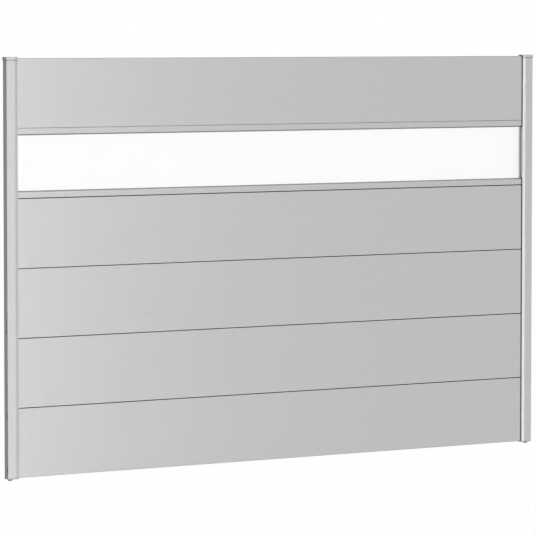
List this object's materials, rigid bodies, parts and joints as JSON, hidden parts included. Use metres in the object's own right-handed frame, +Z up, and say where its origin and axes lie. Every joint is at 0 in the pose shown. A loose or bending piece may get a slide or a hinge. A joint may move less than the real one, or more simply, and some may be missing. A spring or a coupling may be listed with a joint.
{
  "type": "metal privacy screen bay",
  "caption": "Bay of a metal privacy screen: hollow horizontal boards and a frosted glazed course held between two slotted posts with caps and feet.",
  "frame": {"origin": "centre of the underside of the left post's foot, on the ground", "axes": "+X along the screen from the left post to the right post, +Y from the front to the back, +Z up"},
  "size_m": [2.792, 0.04, 1.8151],
  "materials": {
    "coated_metal": "silver grey satin powder coat",
    "cap_metal": "silver grey satin powder coat",
    "foot_plastic": "light grey moulded plastic",
    "frosted_glass": "toughened glass, satin-etched on its back",
    "side_gasket_rubber": "light grey rubber",
    "gasket_rubber": "grey rubber",
    "seal_rubber": "dark grey rubber"
  },
  "bodies": {
    "root": {"post_left": "coated_metal", "post_right": "coated_metal", "cap_left": "cap_metal", "cap_right": "cap_metal", "foot_left": "foot_plastic", "foot_right": "foot_plastic", "board_1": "coated_metal", "board_2": "coated_metal", "board_3": "coated_metal", "board_4": "coated_metal", "board_top": "coated_metal", "glazing_rail_lower": "coated_metal", "glazing_rail_upper": "coated_metal", "glass_pane": "frosted_glass", "gasket_lower": "gasket_rubber", "gasket_upper": "gasket_rubber", "gasket_left": "side_gasket_rubber", "gasket_right": "side_gasket_rubber", "seal_left_front": "seal_rubber", "seal_left_back": "seal_rubber", "seal_right_front": "seal_rubber", "seal_right_back": "seal_rubber"}
  },
  "joints": []
}
